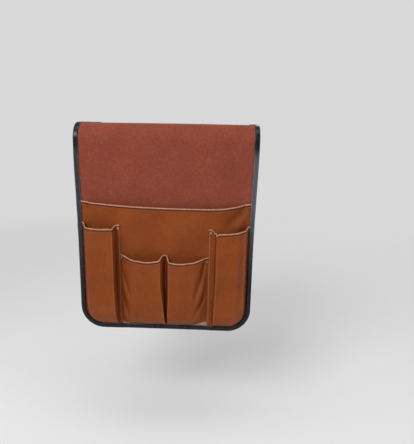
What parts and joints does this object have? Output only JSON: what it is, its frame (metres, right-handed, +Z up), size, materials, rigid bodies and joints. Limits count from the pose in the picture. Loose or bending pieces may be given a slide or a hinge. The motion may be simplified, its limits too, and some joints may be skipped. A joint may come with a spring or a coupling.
{
  "type": "sofa armrest organizer",
  "caption": "Padded suede-faced organizer draped over a sofa's arm, with leather-look pockets on its outer flap and a plain tail flap inside, edged in black binding.",
  "frame": {"origin": "centre of the saddle's underside, where the lining rests on the sofa's arm", "axes": "+X along the arm, to the right when the pockets are seen from outside; -Y to the outer side with the pockets; +Z up"},
  "size_m": [0.32, 0.2264, 0.3773],
  "materials": {
    "suede": "matte brushed suede",
    "foam": "open foam",
    "lining": "matte woven",
    "binding": "satin black vinyl",
    "leather": "satin, fine grain"
  },
  "bodies": {
    "saddle": {"saddle_face": "suede", "saddle_foam": "foam", "saddle_lining": "lining", "saddle_binding_left": "binding", "saddle_binding_right": "binding"},
    "pocket_flap": {"pocket_flap_face": "suede", "pocket_flap_foam": "foam", "pocket_flap_lining": "lining", "pocket_flap_binding": "binding", "magazine_pocket": "leather", "remote_pocket": "leather", "phone_pocket": "leather", "card_pocket": "leather", "glasses_pocket": "leather"},
    "tail_flap": {"tail_flap_face": "suede", "tail_flap_foam": "foam", "tail_flap_lining": "lining", "tail_flap_binding": "binding"}
  },
  "joints": [
    {"name": "pocket_flap_fold", "type": "hinge", "parent": "saddle", "child": "pocket_flap", "pos_m": [0, -0.08699, -0.00301], "axis": [-1, 0, 0], "range_deg": [0, 90]},
    {"name": "tail_flap_fold", "type": "hinge", "parent": "saddle", "child": "tail_flap", "pos_m": [0, 0.08699, -0.00301], "axis": [1, 0, 0], "range_deg": [0, 90]}
  ]
}
